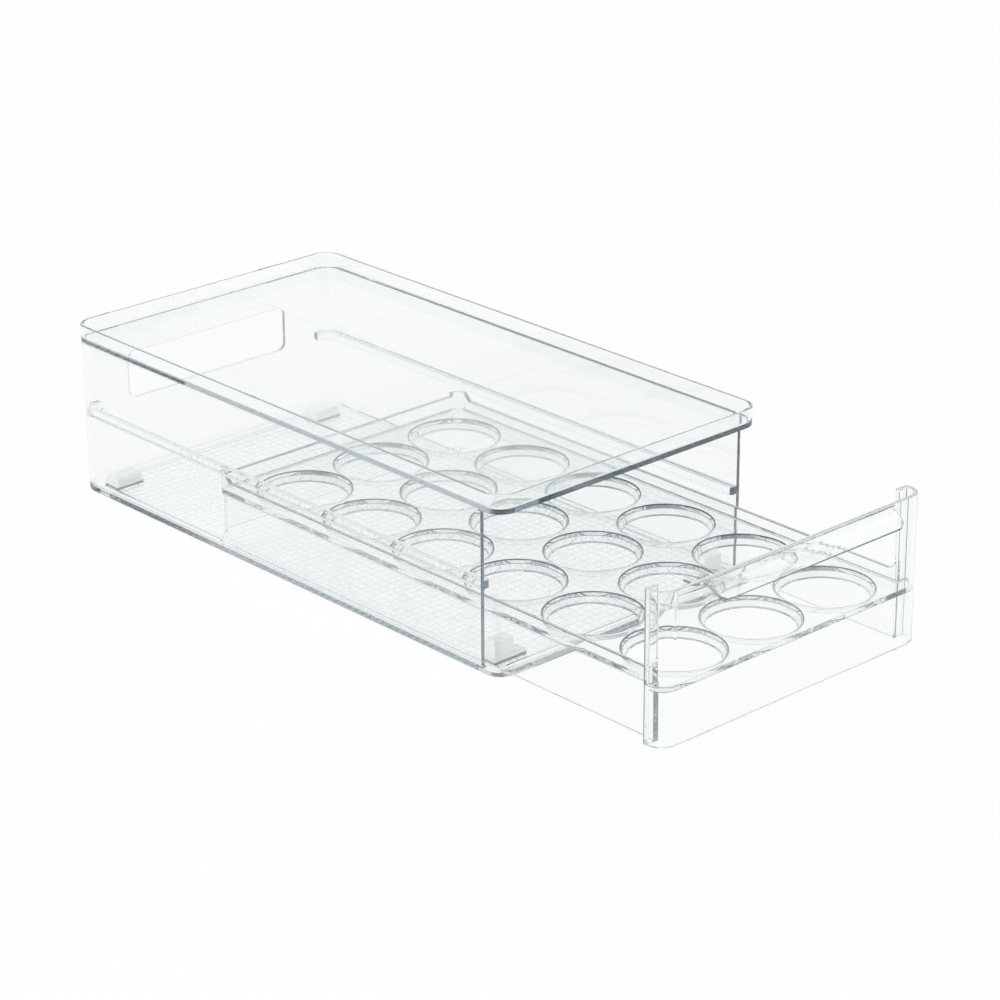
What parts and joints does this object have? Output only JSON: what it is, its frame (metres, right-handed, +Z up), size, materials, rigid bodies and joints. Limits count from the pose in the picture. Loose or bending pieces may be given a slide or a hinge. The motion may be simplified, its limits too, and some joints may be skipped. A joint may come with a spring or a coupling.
{
  "type": "fridge drawer organizer",
  "caption": "Clear refrigerator bin: a closed case with a rimmed flat top for stacking, and a pull-out egg drawer with tapered rings, a finger lip, guide rails and silicone feet.",
  "frame": {"origin": "under the middle of the whole object as stored, with the drawer part way out, level with the bottom of its feet", "axes": "+Z up, -Y the way the drawer pulls out, X across the object, which is symmetric about X = 0"},
  "size_m": [0.172, 0.4408, 0.0925],
  "materials": {
    "case_plastic": "clear, polished",
    "drawer_plastic": "clear, polished",
    "silicone": "matte, translucent white"
  },
  "bodies": {
    "case": {"case_shell": "case_plastic", "front_left_stop_foot": "silicone", "front_right_stop_foot": "silicone", "rear_left_foot": "silicone", "rear_right_foot": "silicone"},
    "drawer": {"drawer": "drawer_plastic"}
  },
  "joints": [
    {"name": "drawer_slide", "type": "slide", "parent": "case", "child": "drawer", "axis": [0, -1, 0], "range_m": [-0.1055, 0.1895]}
  ]
}
